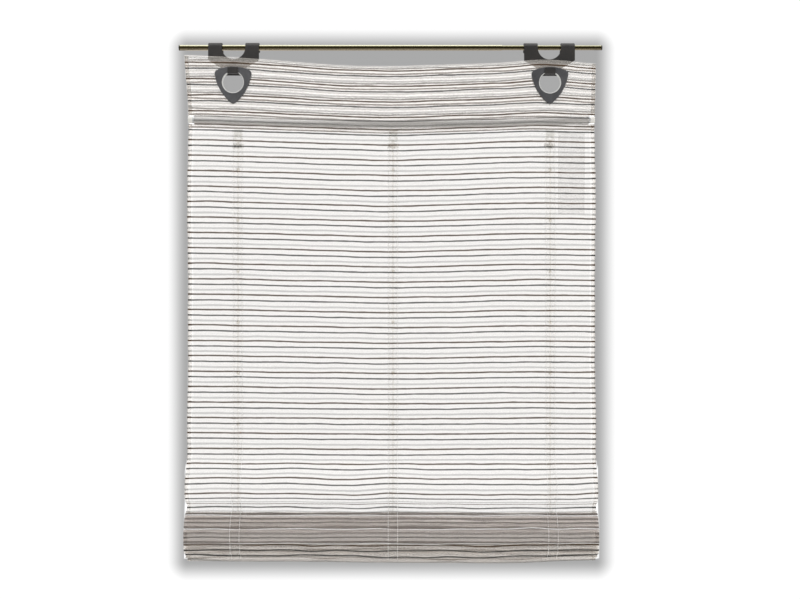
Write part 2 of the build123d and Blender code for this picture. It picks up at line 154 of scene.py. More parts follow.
def smoothRun(points, perCorner):
    # a smooth side-view run that rounds each inner point
    run = [np.array(points[0], float)]
    spots = [np.array(p, float) for p in points]
    for i in range(1, len(spots) - 1):
        start = spots[0] if i == 1 else (spots[i - 1] + spots[i]) / 2
        end = spots[-1] if i == len(spots) - 2 else (spots[i] + spots[i + 1]) / 2
        for k in range(1, perCorner + 1):
            t = k / perCorner
            run.append((1 - t) ** 2 * start + 2 * t * (1 - t) * spots[i] + t * t * end)
    return np.array(run)


def runLengths(run):
    steps = np.linalg.norm(np.diff(run, axis=0), axis=-1)
    return np.concatenate([[0], np.cumsum(steps)])


def together(*parts):
    # spreads arrays to one shape and makes points of them
    return np.stack(np.broadcast_arrays(*parts), -1)


def softNoise(x, z, size, seed):
    # smooth noise over arrays of places in mm, scaled to reach about -1 and 1
    spots = together(x, z)
    values = [noise.noise(Vector((a, b, seed))) for a, b in spots.reshape(-1, 2) / size]
    return np.array(values).reshape(spots.shape[:-1]) * 1.8


def smoothStep(t):
    t = np.clip(t, 0, 1)
    return t * t * (3 - 2 * t)


def boxMiddle(name):
    # the middle of a CAD piece's box, in mm
    low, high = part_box(name)
    return [(a + b) * 500 for a, b in zip(low, high)]


# the cloth's own values, all in mm
clothLook = {
    "halfWidth": 400.0,
    "thickness": 0.3,
    "panelY": -13.15,       # middle of the front layer
    "layerGap": 1.0,        # front layer to back layer of the header
    "headerCloth": 140.5,   # from the top fold to the header's lower edge along the cloth
    "headerFoot": -172.0,   # the header ends near here, and the part that is raised starts
    "backFoot": -160.2,     # the header's back layer ends here at the sides
    "stackTop": -790.0,     # the flat part ends here and the folds start
    "sideHem": 7.5,         # turned back along both side edges
    "sideHemGap": 0.6,
    "columns": 150,
    "pocketR": 7.85,
    "pocketEndZ": -144.0,
    "pocketBow": 8.0,       # how much lower the pocket lies in the middle
    "pocketHalf": 391.0,    # the pocket stops here and shows the rod's caps
    "eyeletCut": 23.0,      # radius of the holes for the eyelets
    "headerDroop": 2.6,     # softness of the header between the eyelets
    "flare": 6.0,           # how far the top corners stand out sideways
    "bulge": 2.2,           # softness of the hanging panel
    "crease": 0.9,          # pressed crease down the middle
    "slack": 2.4,           # how far the woven lines stray in the folds
}
tapePlaces = {"left": -302.0, "centre": 3.0, "right": 312.0}
# height of the header's top edge along the width
topEdge = {
    "x": [-402, -375, -330, -262, -180, -112, -30, 14, 66, 135, 230, 262, 305, 350, 400],
    "z": [-17.2, -18.2, -20.2, -24.8, -31.5, -37.2, -39.4, -39.4, -37, -35.4, -32.5, -27.5, -24.5, -29, -36],
}
# how far the woven lines hang below level at the header's foot, along the width
footSag = {"x": [-400, -376, -258, -121, 3, 135, 272, 340, 400],
           "z": [0.0, 0.0, 3.5, 7.9, 11.8, 7.7, 2.9, 4.4, 5.5]}
# the share of that sag left further down
sagLeft = {"z": [-790, -758, -636, -450, -278, -172], "share": [0.2, 0.26, 0.44, 0.7, 0.9, 1.0]}
# side view of the folds, as (forward of the panel, below the flat part)
foldRun = [
    (0, 0), (0, -10), (9, -30), (27, -60), (33, -82), (24, -101), (0.5, -113),
    (28, -127), (40, -146), (41.5, -184), (38, -200), (30, -200), (26, -176),
    (15, -136), (6, -122.5), (0.8, -126), (15, -148), (23, -178), (24.5, -211),
    (17.5, -211), (13.5, -178), (5, -140), (0, -140), (0, -222), (-1.6, -222), (-1.6, -202),
]


def spread(table, x):
    # a table's values at x, with rounded corners
    places, values = (np.array(table[k], float) for k in table)
    near = [np.interp(np.asarray(x) + step, places, values) for step in (-36, -18, 0, 18, 36)]
    return sum(near) / 5


def sideShape():
    # across the width: x, the way back from the front, and the place on the flat cloth
    half, hem, gap = clothLook["halfWidth"], clothLook["sideHem"], clothLook["sideHemGap"]
    flat = np.linspace(-half + 1.2, half - 1.2, clothLook["columns"])
    edge = [(half - hem, gap, half + hem), (half - 3.5, gap, half + 3.5), (half - 0.8, gap, half + 0.8),
            (half - 0.15, gap * 0.8, half + 0.3), (half, gap / 2, half), (half - 0.15, gap * 0.2, half - 0.3)]
    left = [(-x, back, -u) for x, back, u in edge]
    middle = [(x, 0.0, x) for x in flat]
    return np.array(left + middle + edge[::-1])


acrossX, acrossBack, acrossU = sideShape().T


def pocketZ(x):
    half = clothLook["halfWidth"]
    return clothLook["pocketEndZ"] - clothLook["pocketBow"] * (1 - (x / half) ** 2)


def eyeletHold(x, z):
    # 0 where an eyelet grips the cloth, 1 away from it
    free, held, eased = 1.0, 42, 60  # held this far from the middle, then let go over so much
    for side in holeZ:
        middleX, _, middleZ = boxMiddle(f"eyelet_front_{side}")
        free = free * smoothStep((np.hypot(x - middleX, z - middleZ) - held) / eased)
    return free


def headerDrape(x, z):
    # forward softness of the header between the eyelets
    droop = clothLook["headerDroop"] * softNoise(x * 0.8 + z * 1.3, z, 95, 3.1) \
        + 1.2 * softNoise(x, z * 2.2, 60, 8.4)
    between = smoothStep((-z - 24) / 40) * smoothStep((z + 132) / 30)  # top fold to pocket
    return np.clip(droop + 1.2, -0.2, 5) * between * eyeletHold(x, z)


def panelDrape(x, z):
    # forward softness of the hanging panel, with a pressed crease down the middle
    fade = smoothStep((clothLook["headerFoot"] - z) / 70)
    soft = clothLook["bulge"] * (softNoise(x, z * 0.55, 150, 1.7) + 0.5 * softNoise(x * 0.35, z, 52, 5.2))
    crease = clothLook["crease"] * np.exp(-((x - 2) / 5) ** 2)
    drawn = sum(0.32 * np.exp(-((x - at) / 9) ** 2) for at in tapePlaces.values())  # in by the tapes
    return (np.clip(soft + 1.4, 0, 6) + crease - drawn) * fade


def flareAt(x, z):
    # sideways spread of the side edges near the top
    near = smoothStep((np.abs(x) - 330) / 70) * np.sign(x)
    wander = 1.3 * softNoise(z, 0, 130, 4.4) + 0.5 * softNoise(z, 0, 30, 9.1)
    share = np.where(x < 0, 1.0, 0.15) * smoothStep((z + 125) / 105)  # mostly at the left
    return near * (clothLook["flare"] * share + wander)


# how much cloth each side of the top fold takes up beyond its height, along the width
topTuck = {"x": [-400, -300, 400], "z": [-2.0, 2.4, 2.4]}
deepest = max(footSag["z"])


def clothDown(x, z):
    # place along the cloth's length of a point of the hanging panel
    share = np.interp(z, sagLeft["z"], sagLeft["share"])
    level = clothLook["headerCloth"] + deepest + clothLook["headerFoot"] - z
    return level - share * spread(footSag, x)


# materials

clothStripes = {
    "repeat": 30.3,          # mm, after which the three lines come again
    "shift": 18.2,           # mm, moves the whole pattern along the cloth
    "wander": 4.0,           # mm, how far a line strays
    "ground": "#EFE6DD",
    "groundLight": "#F7F1EA",
    "cover": 0.2,            # share of light that one face of the plain ground stops
    "lines": {               # where each line lies in the repeat and its half width, in mm
        "brown": {"at": 0.0, "half": 1.5, "colour": "#5F4A36", "cover": 0.72},
        "grey": {"at": 11.0, "half": 1.45, "colour": "#50504E", "cover": 0.68},
        "pale": {"at": 21.6, "half": 1.9, "colour": "#ADAAA4", "cover": 0.33},
    },
}
# the hem's facing is a greyer, denser piece with soft bands
facingStripes = {
    **clothStripes,
    "ground": "#D6CCC6",
    "groundLight": "#E3DAD4",
    "cover": 0.34,
    "lines": {
        "broad": {"at": 23.9, "half": 3.2, "colour": "#8E847E", "cover": 0.5},
        "soft": {"at": 5.6, "half": 2.2, "colour": "#A39993", "cover": 0.42},
        "thin": {"at": 13.6, "half": 1.4, "colour": "#827A74", "cover": 0.46},
    },
}


def sheerVoile(name, look):
    # sheer polyester voile with bundles of coloured yarn woven in: light comes through one
    # layer and is stopped by many, so the panel reads white and the folds read grey
    material, tree, shader = startMaterial(name, {
        "Roughness": 0.85, "Specular IOR Level": 0.25, "Sheen Weight": 0.2, "Sheen Roughness": 0.5})
    place = addNode(tree, "ShaderNodeUVMap", {"uv_map": "sheetMap"})
    inMm = addNode(tree, "ShaderNodeVectorMath", {"operation": "SCALE"}, {0: place, "Scale": 1000.0})
    parts = addNode(tree, "ShaderNodeSeparateXYZ", None, {0: inMm})
    # the lines' wander, their uneven thickness, and thicker threads across the width, 1 to 2 mm apart
    stray, thick, slub = (
        addNode(tree, "ShaderNodeTexNoise", None, {
            "Vector": addNode(tree, "ShaderNodeMapping", None, {"Vector": inMm, "Scale": scale}),
            "Scale": 1.0, "Detail": 2.0})
        for scale in ((0.012, 0.03, 1), (0.06, 0.1, 1), (0.02, 0.6, 1)))
    down = addNode(tree, "ShaderNodeMath", {"operation": "MULTIPLY_ADD"},
                   {0: stray, 1: look["wander"], 2: parts.outputs["Y"]})
    ground = addNode(tree, "ShaderNodeValToRGB", {
        "stops": [(0.35, look["ground"]), (0.65, look["groundLight"])]}, {0: slub})
    cover = addNode(tree, "ShaderNodeMath", {"operation": "MULTIPLY_ADD"},
                    {0: slub, 1: 0.08, 2: look["cover"] - 0.04})
    colour, raised = ground.outputs[0], slub
    for line in look["lines"].values():
        moved = addNode(tree, "ShaderNodeMath", {"operation": "ADD"},
                        {0: down, 1: look["shift"] - look["wander"] / 2 - line["at"]})
        away = addNode(tree, "ShaderNodeMath", {"operation": "PINGPONG"}, {0: moved, 1: look["repeat"] / 2})
        edge = addNode(tree, "ShaderNodeMath", {"operation": "MULTIPLY_ADD"}, {0: thick, 1: -0.8, 2: away})
        inLine = addNode(tree, "ShaderNodeMapRange", {"interpolation_type": "SMOOTHSTEP"},
                         {"Value": edge, "From Min": line["half"] - 0.8, "From Max": line["half"],
                          "To Min": 1.0, "To Max": 0.0})
        colour = addNode(tree, "ShaderNodeMix", {"data_type": "RGBA"},
                         {0: inLine, 6: colour, 7: hexToLinear(line["colour"])}).outputs[2]
        cover = addNode(tree, "ShaderNodeMix", None, {0: inLine, 2: cover, 3: line["cover"]})
        raised = addNode(tree, "ShaderNodeMath", {"operation": "ADD"}, {0: raised, 1: inLine})
    tree.links.new(cover.outputs[0], shader.inputs["Alpha"])
    # a plain weave drawn 1.2 mm apart, coarser than the real 0.3 mm, so that it shows
    warp, weft = (addNode(tree, "ShaderNodeTexWave", {"bands_direction": way},
                          {"Vector": inMm, "Scale": 0.26}) for way in "XY")
    weave = addNode(tree, "ShaderNodeMath", {"operation": "ADD"},
                    {0: warp.outputs["Fac"], 1: weft.outputs["Fac"]})
    height = addNode(tree, "ShaderNodeMath", {"operation": "MULTIPLY_ADD"}, {0: weave, 1: 0.2, 2: raised})
    finishMaterial(tree, shader, colour, height, 0.25, 0.0002)
    return material


voile, facingVoile = sheerVoile("sheerVoile", clothStripes), sheerVoile("facingVoile", facingStripes)


def wovenFabric(name, colour, dark, cover, threadMm, sheen, clear=0.0):
    # narrow woven polyester: fine cross ribs and a soft lustre
    material, tree, shader = startMaterial(name, {
        "Roughness": 0.8, "Specular IOR Level": 0.3, "Sheen Weight": sheen, "Sheen Roughness": 0.4,
        "Alpha": cover, "Transmission Weight": clear, "IOR": 1.1})
    place = addNode(tree, "ShaderNodeUVMap", {"uv_map": "sheetMap"})
    inMm = addNode(tree, "ShaderNodeVectorMath", {"operation": "SCALE"}, {0: place, "Scale": 1000.0})
    rib = addNode(tree, "ShaderNodeTexWave", {"bands_direction": "Y"},
                  {"Vector": inMm, "Scale": 0.314 / threadMm, "Distortion": 0.6, "Detail": 1.0})
    speck = addNode(tree, "ShaderNodeTexNoise", None, {"Vector": inMm, "Scale": 0.3, "Detail": 1.0})
    both = addNode(tree, "ShaderNodeMath", {"operation": "MULTIPLY_ADD"},
                   {0: rib.outputs["Fac"], 1: 0.5, 2: speck})
    tone = addNode(tree, "ShaderNodeValToRGB", {"stops": [(0.25, dark), (1.0, colour)]}, {0: both})
    finishMaterial(tree, shader, tone.outputs[0], both, 0.25, 0.0002)
    return material


def mouldedPlastic(name, light, dark, roughness, grainMm=0.6, coat=0.0, clear=0.0, ior=1.5):
    # injection-moulded plastic with a fine spark-eroded grain: an even colour with faint clouds
    material, tree, shader = startMaterial(name, {
        "Roughness": roughness, "IOR": ior, "Coat Weight": coat, "Coat Roughness": 0.25,
        "Transmission Weight": clear})
    place = addNode(tree, "ShaderNodeTexCoord").outputs["Object"]
    grain = addNode(tree, "ShaderNodeTexNoise", None,
                    {"Vector": place, "Scale": 1 / (grainMm * mm), "Detail": 2.0})
    cloud = addNode(tree, "ShaderNodeTexNoise", None, {"Vector": place, "Scale": 45.0, "Detail": 3.0})
    tone = addNode(tree, "ShaderNodeValToRGB", {"stops": [(0.3, dark), (0.7, light)]}, {0: cloud})
    finishMaterial(tree, shader, tone.outputs[0], grain, 0.25, 0.0001)
    return material, tree, shader


def brassPaintedLight():
    # brass-plated steel tube, drawn and polished; its colour is painted by height across the tube: a painted
    # highlight along the top, painted shade over the middle and a lighter painted reflection along the
    # underside
    material, tree, shader = startMaterial("brassPaintedLight", {"Metallic": 1.0, "Roughness": 0.26})
    place = addNode(tree, "ShaderNodeTexCoord").outputs["Object"]
    parts = addNode(tree, "ShaderNodeSeparateXYZ", None, {0: place})
    height = addNode(tree, "ShaderNodeMapRange", None,
                     {"Value": parts.outputs["Z"], "From Min": -0.0055, "From Max": 0.0055})
    # painted light: lighter painted reflection low down, painted shade across the middle, painted highlight
    # along the top
    tone = addNode(tree, "ShaderNodeValToRGB", {"stops": [
        (0.0, "#9A8F7B"), (0.22, "#766C58"), (0.36, "#3A3421"), (0.62, "#2C2817"),
        (0.72, "#6B684C"), (0.8, "#B9B696"), (0.92, "#FFFCE6")]}, {0: height})
    long = addNode(tree, "ShaderNodeMapping", None, {"Vector": place, "Scale": (4, 500, 500)})
    lines = addNode(tree, "ShaderNodeTexNoise", None, {"Vector": long, "Scale": 1.0, "Detail": 1.0})
    finishMaterial(tree, shader, tone.outputs[0], lines, 0.05, 0.0001)
    return material


def drawnMetal(name, colour, dark, roughness, lineScale):
    # mill-finished metal with fine draw lines
    material, tree, shader = startMaterial(name, {"Metallic": 1.0, "Roughness": roughness})
    place = addNode(tree, "ShaderNodeTexCoord").outputs["Object"]
    stretched = addNode(tree, "ShaderNodeMapping", None, {"Vector": place, "Scale": lineScale})
    lines = addNode(tree, "ShaderNodeTexNoise", None, {"Vector": stretched, "Scale": 1.0, "Detail": 3.0})
    tone = addNode(tree, "ShaderNodeValToRGB", {"stops": [(0.3, dark), (0.7, colour)]}, {0: lines})
    finishMaterial(tree, shader, tone.outputs[0], lines, 0.1, 0.0001)
    return material


def eyeletPlastic():
    # satin anthracite plastic with a painted highlight: a light grey ring painted along the bevel round each
    # hole
    material, tree, shader = mouldedPlastic("eyeletPlastic", "#525254", "#3E3E41", 0.42, 0.5, 0.15)
    base = shader.inputs["Base Color"].links[0].from_socket
    place = addNode(tree, "ShaderNodeTexCoord").outputs["Object"]
    flatPlace = addNode(tree, "ShaderNodeVectorMath", {"operation": "MULTIPLY"}, {0: place, 1: (1, 0, 1)})
    rings = []
    for side in holeZ:
        middle = (boxMiddle(f"eyelet_front_{side}")[0] * mm, 0.0, holeZ[side])
        rings.append(addNode(tree, "ShaderNodeVectorMath", {"operation": "DISTANCE"},
                             {0: flatPlace, 1: middle}))
    nearest = addNode(tree, "ShaderNodeMath", {"operation": "MINIMUM"},
                      {0: rings[0].outputs["Value"], 1: rings[1].outputs["Value"]})
    # painted highlight: the light grey ring along the bevel round each hole
    paintedBevelHighlight = addNode(tree, "ShaderNodeMapRange", {"interpolation_type": "SMOOTHSTEP"},
                     {"Value": nearest, "From Min": 0.0214, "From Max": 0.0219, "To Min": 1.0, "To Max": 0.0})
    mixed = addNode(tree, "ShaderNodeMix", {"data_type": "RGBA"},
                    {0: paintedBevelHighlight, 6: base, 7: hexToLinear("#DADAD6")})
    tree.links.new(mixed.outputs[2], shader.inputs["Base Color"])
    return material


brass = brassPaintedLight()
hookPlastic = mouldedPlastic("hookPlastic", "#292522", "#1E1B19", 0.5)[0]
eyelet = eyeletPlastic()
plugPlastic = mouldedPlastic("plugPlastic", "#2A2927", "#201F1E", 0.5)[0]
capPlastic = mouldedPlastic("capPlastic", "#F4F2EC", "#E9E6DF", 0.5)[0]
guidePlastic = mouldedPlastic("guidePlastic", "#F4F4F1", "#EAEAE7", 0.3, 0.8, 0.1, 0.93, 1.08)[0]
stopperPlastic = mouldedPlastic("stopperPlastic", "#F4F4F2", "#EBEBE9", 0.25, 0.8, 0.1, 0.88, 1.08)[0]
aluminium = drawnMetal("drawnAluminium", "#C9CACB", "#B2B3B4", 0.35, (20, 700, 700))
springSteel = drawnMetal("springSteel", "#B9B9B9", "#9A9A9A", 0.3, (900, 900, 900))
lacquer = mouldedPlastic("whiteLacquer", "#E9E8E4", "#DFDEDA", 0.35, 1.2, 0.3)[0]
tapeFabric = wovenFabric("curtainTape", "#FAF9F6", "#F1EFEA", 0.09, 1.0, 0.3)
loopFabric = wovenFabric("loopTape", "#FAF9F6", "#F1EFEA", 1.0, 1.0, 0.3, 0.85)
cordFabric = wovenFabric("braidedCord", "#F6F4F0", "#E4E1DA", 1.0, 1.2, 0.3, 0.75)
labelSatin = wovenFabric("labelSatin", "#DCDCDC", "#CDCDCE", 0.08, 2.0, 0.2)
thread = wovenFabric("sewingThread", "#FFFFFF", "#FAF9F7", 1.0, 0.6, 1.0)
clearThread = mouldedPlastic("clearThread", "#F6F6F4", "#EDEDEA", 0.5, 0.8, 0.0, 0.9, 1.08)[0]
print("materials made")

cadLooks = {
    "rod_outer_tube": brass, "rod_inner_tube": brass, "header_rod": aluminium, "bottom_bar": lacquer,
    "rod_plug_left": plugPlastic, "rod_plug_right": plugPlastic,
}
for side in holeZ:
    cadLooks[f"hook_{side}"] = hookPlastic
    cadLooks[f"eyelet_front_{side}"] = cadLooks[f"eyelet_back_{side}"] = eyelet
    cadLooks[f"header_rod_cap_{side}"] = cadLooks[f"bottom_bar_cap_{side}"] = capPlastic
for side in tapePlaces:
    cadLooks[f"cord_guide_{side}"] = guidePlastic
    cadLooks[f"stopper_body_{side}"] = cadLooks[f"stopper_button_{side}"] = stopperPlastic
for name, material in cadLooks.items():
    nodes[name].data.materials.clear()
    nodes[name].data.materials.append(material)


# header: the back layer goes up, over the top fold, and comes down as the front

def headerGrid():
    gap, foot, r = clothLook["layerGap"], clothLook["headerFoot"], clothLook["pocketR"]
    x = acrossX
    top, middle = spread(topEdge, x), pocketZ(x)
    middleY = clothLook["panelY"] + gap / 2
    foldR = 0.5  # the top fold's own radius

    def layer(z, way):
        # y of the front (-1) or back (1) layer, with the pocket's round bulge
        d = np.abs(z - middle)
        bump = np.maximum(np.sqrt(np.clip(r * r - d * d, 0, None)) - gap / 2, 0)
        beside = 0.7 * np.exp(-((d - r) / 2.2) ** 2) * (d > r - 2.2)
        return middleY + way * (gap / 2 + np.maximum(bump, beside))

    def heights(footZ):
        # row heights from the top edge down to footZ, closer together over the pocket
        marks = np.stack([top - foldR, middle + r + 5, middle - r - 4, footZ])
        steps = np.concatenate([np.linspace(0, 1, 22)[:-1], np.linspace(1, 2, 34)[:-1], np.linspace(2, 3, 6)])
        mark = np.minimum(steps.astype(int), 2)
        return marks[mark] + (steps - mark)[:, None] * (marks[mark + 1] - marks[mark])

    rows = []
    backFoot = np.maximum(clothLook["backFoot"] - spread(footSag, x), foot)
    for z in heights(backFoot)[::-1]:
        rows.append((z, layer(z, 1) - headerDrape(x, z) * 0.7))
    for turn in (30, 60, 90, 120, 150):
        angle = math.radians(turn)
        y = middleY + gap / 2 * math.cos(angle)
        rows.append((top - foldR + foldR * math.sin(angle), np.full(len(x), y)))
    foldRow = len(rows) - 3
    for z in heights(np.full(len(x), foot)):
        rows.append((z, layer(z, -1) - headerDrape(x, z)))
    z = np.array([row[0] for row in rows])
    y = np.array([row[1] for row in rows]) + acrossBack
    points = together(x + flareAt(x, z), y, z)
    # the cloth's own length places: 0 at the top fold
    rowSteps = np.hypot(np.diff(y, axis=0), np.diff(z, axis=0))
    along = np.concatenate([np.zeros((1, len(x))), np.cumsum(rowSteps, 0)])
    along -= along[foldRow]
    tuck = spread(topTuck, x)
    v = along * (clothDown(x, foot) - tuck) / along[-1]
    v = v + tuck * np.sign(along) * smoothStep(np.abs(along) / 3)
    dropped = (np.abs(x) > clothLook["pocketHalf"]) & (np.abs(z - middle) < r + 0.3)
    for side in holeZ:
        away = np.hypot(points[..., 0] - boxMiddle(f"eyelet_front_{side}")[0], z - holeZ[side] / mm)
        dropped |= away < clothLook["eyeletCut"]
    return points, together(acrossU, v), dropped


headerPoints, headerUvs, headerDropped = headerGrid()
clothHeader = gridSheet("clothHeader", headerPoints, headerUvs, clothLook["thickness"], voile, headerDropped)
print("header made")


# the hanging panel

def panelGrid():
    z = np.linspace(clothLook["headerFoot"], clothLook["stackTop"], 150)[:, None]
    x = acrossX[None, :]
    y = clothLook["panelY"] - panelDrape(x, z) + acrossBack
    return together(x + flareAt(x, z), y, z), together(acrossU, clothDown(x, z))


panelPoints, panelUvs = panelGrid()
clothPanel = gridSheet("clothPanel", panelPoints, panelUvs, clothLook["thickness"], voile)
print("panel made")


# the folds under it

def foldPlace(run, lengths, x):
    # the folds' surface for a side-view run: y and z in mm for every x
    stack, panelY = clothLook["stackTop"], clothLook["panelY"]
    x, s = x[None, :], lengths[:, None]
    forward, down = run[:, 0][:, None], run[:, 1][:, None]
    start = smoothStep(s / 40)
    deeper = 1 + 0.05 * softNoise(x, s * 0.4, 170, 2.3) * smoothStep((120 - s) / 40)
    sway = 1.1 * softNoise(x, s * 0.25, 120, 6.6) + 0.5 * softNoise(x, s, 45, 7.7)
    hemWave = 2.6 * softNoise(x * 0.6, 0, 200, 11.0) * smoothStep((s - 360) / 100)
    hemBow = -2.0 * np.cos(x / 190) * smoothStep((s - 420) / 100)
    y = panelY - forward * deeper - start * sway * smoothStep((forward + 3) / 12)
    y = y - (1 - start) * panelDrape(x, stack + down)
    z = stack + down + start * 0.8 * softNoise(x, s * 0.2, 90, 12.5) + hemWave + hemBow
    return y, z


def runBack(run):
    # the way back from the front of a side-view run, as steps in y and z
    tangent = np.gradient(run, axis=0)
    tangent /= np.linalg.norm(tangent, axis=1)[:, None]
    return -tangent[:, 1][:, None], -tangent[:, 0][:, None]


def foldsGrid():
    run = smoothRun(foldRun, 8)
    lengths = runLengths(run)
    y, z = foldPlace(run, lengths, acrossX)
    backY, backZ = runBack(run)
    points = together(acrossX + flareAt(acrossX, clothLook["stackTop"]), y + backY * acrossBack,
                      z + backZ * acrossBack)
    slack = clothLook["slack"] * softNoise(acrossX[None, :], lengths[:, None] * 0.4, 85, 31.5)
    down = lengths[:, None] + slack * smoothStep(lengths / 60)[:, None]
    return points, together(acrossU, clothDown(acrossX, clothLook["stackTop"]) + down), lengths


foldPoints, foldUvs, foldLengths = foldsGrid()
clothFolds = gridSheet("clothFolds", foldPoints, foldUvs, clothLook["thickness"], voile)
print("folds made, cloth is", round(float(foldLengths[-1])), "mm along them")


# facing sewn across the front of the hem fold, with the bottom bar in a tunnel behind it

tunnelLook = {
    "firstRow": 50, "lastRow": 59,  # rows of the folds that the facing follows
    "proud": 0.8,                   # how far the facing stands before them
    "ripple": 0.9,
    "clothStart": 640.0,            # moves the facing's own stripes along it
    # round the front of the bar, as (back, up) from its middle
    "roundBar": [(2.2, 15.5), (-1.2, 13.6), (-2.75, 10), (-2.75, -4), (-2.4, -11.4), (0.6, -12.3),
                 (1.8, -13.5)],
}


def sheetNormal(grid):
    # the way forward from a sheet or a line that runs downwards
    tangent = np.gradient(grid, axis=0)
    normal = together(0.0, tangent[..., 2], -tangent[..., 1])
    return normal / np.linalg.norm(normal, axis=-1)[..., None]


def tunnelGrid():
    _, barY, barZ = boxMiddle("bottom_bar_cap_left")
    rows = slice(tunnelLook["firstRow"], tunnelLook["lastRow"])
    upper = (foldPoints + sheetNormal(foldPoints) * tunnelLook["proud"])[rows]
    run = smoothRun([(barY + y, barZ + z) for y, z in tunnelLook["roundBar"]], 5)
    y, z = run[:, 0][:, None], run[:, 1][:, None]
    ripple = tunnelLook["ripple"] * softNoise(acrossX[None, :], 0, 55, 20.5)
    lower = together(acrossX, y, z + smoothStep(np.abs(z - barZ) / 12) * ripple)
    points = np.concatenate([upper, lower])
    steps = np.linalg.norm(np.diff(points, axis=0), axis=-1)
    v = np.concatenate([np.zeros((1, len(acrossX))), np.cumsum(steps, 0)]) + tunnelLook["clothStart"]
    return points, together(acrossU, v)


tunnelPoints, tunnelUvs = tunnelGrid()
clothTunnel = gridSheet("clothTunnel", tunnelPoints, tunnelUvs, clothLook["thickness"], facingVoile)
print("facing and tunnel made")


# tapes behind the cloth

tapeLook = {
    "width": 20.0, "thickness": 0.4, "columns": 9, "topZ": -163.0,
    "behind": 1.75,   # from the middle of the cloth
    "endUp": 28.0,    # above the hem's foot
    "follows": 0.85,  # share of the panel's softness that the tapes take up
}
hemFoot = foldRun[-3][1]
hemTurn = foldRun[-1][1] - foldRun[-2][1]  # cloth turned up inside the hem
tapeRun = float(foldLengths[-1]) - hemTurn - tapeLook["endUp"]  # length of a tape along the folds


def tapeGrid(middle):
    x = middle + np.linspace(-0.5, 0.5, tapeLook["columns"]) * tapeLook["width"]
    stack, behind, follows = clothLook["stackTop"], tapeLook["behind"], tapeLook["follows"]
    z = np.linspace(tapeLook["topZ"], stack, 110)[:, None]
    y = clothLook["panelY"] + behind - panelDrape(x[None, :], z) * follows
    upper, upperUvs = together(x, y, z), together(x - middle, -z)
    run = smoothRun(foldRun[:-3] + [(0, hemFoot + tapeLook["endUp"])], 8)
    lengths = runLengths(run)
    y, z = foldPlace(run, lengths, x)
    backY, backZ = runBack(run)
    near = 1 - smoothStep(lengths / 40)[:, None]  # eases into the upper tape
    y = y + backY * behind + (1 - follows) * near ** 2 * panelDrape(x[None, :], stack)
    lower = together(x, y, z + backZ * behind)
    return upper, upperUvs, lower, together(x - middle, lengths[:, None] - stack)


# stitches and loops, one small shape set along lines or points

def startTree(name, values):
    # a tree that takes a geometry, the named values and a material
    tree = bpy.data.node_groups.new(name, "GeometryNodeTree")
    for way in ("INPUT", "OUTPUT"):
        tree.interface.new_socket("Geometry", in_out=way, socket_type="NodeSocketGeometry")
    for label, value in values.items():
        kind = "NodeSocketInt" if isinstance(value, int) else "NodeSocketFloat"
        tree.interface.new_socket(label, in_out="INPUT", socket_type=kind).default_value = value
    tree.interface.new_socket("Material", in_out="INPUT", socket_type="NodeSocketMaterial")
    return tree, addNode(tree, "NodeGroupInput").outputs


def finishTree(tree, placed, material):
    real = addNode(tree, "GeometryNodeRealizeInstances", None, {0: placed})
    done = addNode(tree, "GeometryNodeSetMaterial", None, {"Geometry": real, "Material": material})
    addNode(tree, "NodeGroupOutput", None, {0: done})
    return tree


stitchLook = {"Pitch": 0.0036, "Stitch Length": 0.0028, "Stitch Width": 0.0008, "Seed": 4}
hemStitchLook = {"Pitch": 0.0032, "Stitch Length": 0.0042, "Stitch Width": 0.0021, "Seed": 4}
loopLook = {"Loop Width": 0.0054, "Loop Depth": 0.0042, "Loop Height": 0.006, "Wall": 0.0006}


def stitchTree():
    tree, start = startTree("stitchRow", stitchLook)
    line = addNode(tree, "GeometryNodeMeshToCurve", None, {"Mesh": start["Geometry"]})
    spaced = addNode(tree, "GeometryNodeResampleCurve", {"mode": "LENGTH"},
                     {"Curve": line, "Length": start["Pitch"]})
    tangent = addNode(tree, "GeometryNodeInputTangent")
    turned = addNode(tree, "FunctionNodeAlignRotationToVector", {"axis": "X"}, {"Vector": tangent})
    bead = addNode(tree, "GeometryNodeMeshUVSphere", None, {"Segments": 6, "Rings": 4, "Radius": 0.5})
    smooth = addNode(tree, "GeometryNodeSetShadeSmooth", None, {"Geometry": bead})
    varied = addNode(tree, "FunctionNodeRandomValue", None, {2: 0.85, 3: 1.1, "Seed": start["Seed"]})
    long = addNode(tree, "ShaderNodeMath", {"operation": "MULTIPLY"},
                   {0: start["Stitch Length"], 1: varied.outputs[1]})
    size = addNode(tree, "ShaderNodeCombineXYZ", None,
                   {0: long, 1: start["Stitch Width"], 2: start["Stitch Width"]})
    placed = addNode(tree, "GeometryNodeInstanceOnPoints", None,
                     {"Points": spaced, "Instance": smooth, "Rotation": turned, "Scale": size})
    return finishTree(tree, placed, start["Material"])


def loopTree():
    tree, start = startTree("loopRow", loopLook)
    ring = addNode(tree, "GeometryNodeCurvePrimitiveCircle", None, {"Resolution": 20, "Radius": 0.5})
    oval = addNode(tree, "ShaderNodeCombineXYZ", None,
                   {0: start["Loop Width"], 1: start["Loop Depth"], 2: 1.0})
    shaped = addNode(tree, "GeometryNodeTransform", None, {"Geometry": ring, "Scale": oval})
    band = addNode(tree, "GeometryNodeCurvePrimitiveQuadrilateral", None,
                   {"Width": start["Wall"], "Height": start["Loop Height"]})
    swept = addNode(tree, "GeometryNodeCurveToMesh", None, {"Curve": shaped, "Profile Curve": band})
    placed = addNode(tree, "GeometryNodeInstanceOnPoints", None,
                     {"Points": start["Geometry"], "Instance": swept})
    return finishTree(tree, placed, start["Material"])


